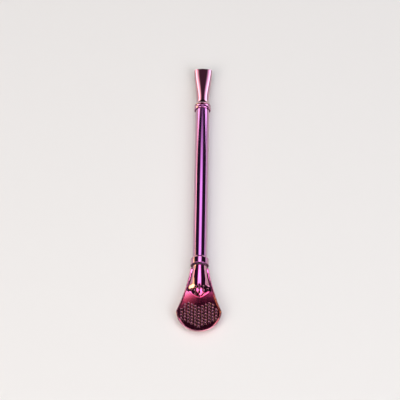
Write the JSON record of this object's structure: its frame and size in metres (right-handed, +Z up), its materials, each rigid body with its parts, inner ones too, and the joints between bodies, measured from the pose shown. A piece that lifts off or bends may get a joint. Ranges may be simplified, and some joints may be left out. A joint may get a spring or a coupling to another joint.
{
  "type": "bombilla",
  "caption": "Metal drinking straw for mate tea with a flattened mouthpiece, ringed tube and a screw-off perforated spoon filter.",
  "frame": {"origin": "centre of the bounding box, on the surface that the straw lies on", "axes": "+X across the spoon, +Y along the stem towards the mouthpiece, +Z up out of the perforated front"},
  "size_m": [0.025, 0.1692, 0.0102],
  "materials": {
    "violet_steel": "polished, violet coated",
    "magenta_steel": "polished, magenta violet coated",
    "plain_steel": "turned",
    "seal": "matt silicone"
  },
  "bodies": {
    "stem": {"mouthpiece": "violet_steel", "upper_ring": "violet_steel", "stem_tube": "violet_steel", "lower_collar": "violet_steel", "threaded_bush": "plain_steel"},
    "seal": {"seal_ring": "seal"},
    "filter": {"threaded_nipple": "magenta_steel", "front_plate": "magenta_steel", "back_shell": "magenta_steel"}
  },
  "joints": [
    {"name": "filter_draw", "type": "slide", "parent": "stem", "child": "seal", "axis": [0, -1, 0], "range_m": [0, 0.005]},
    {"name": "filter_unscrew", "type": "hinge", "parent": "seal", "child": "filter", "pos_m": [0, -0.04455, 0.0051], "axis": [0, -1, 0], "range_deg": [0, 1800]}
  ],
  "couplings": [
    {"joint": "filter_draw", "follows": "filter_unscrew", "m_per_rad": 0.00015915}
  ]
}
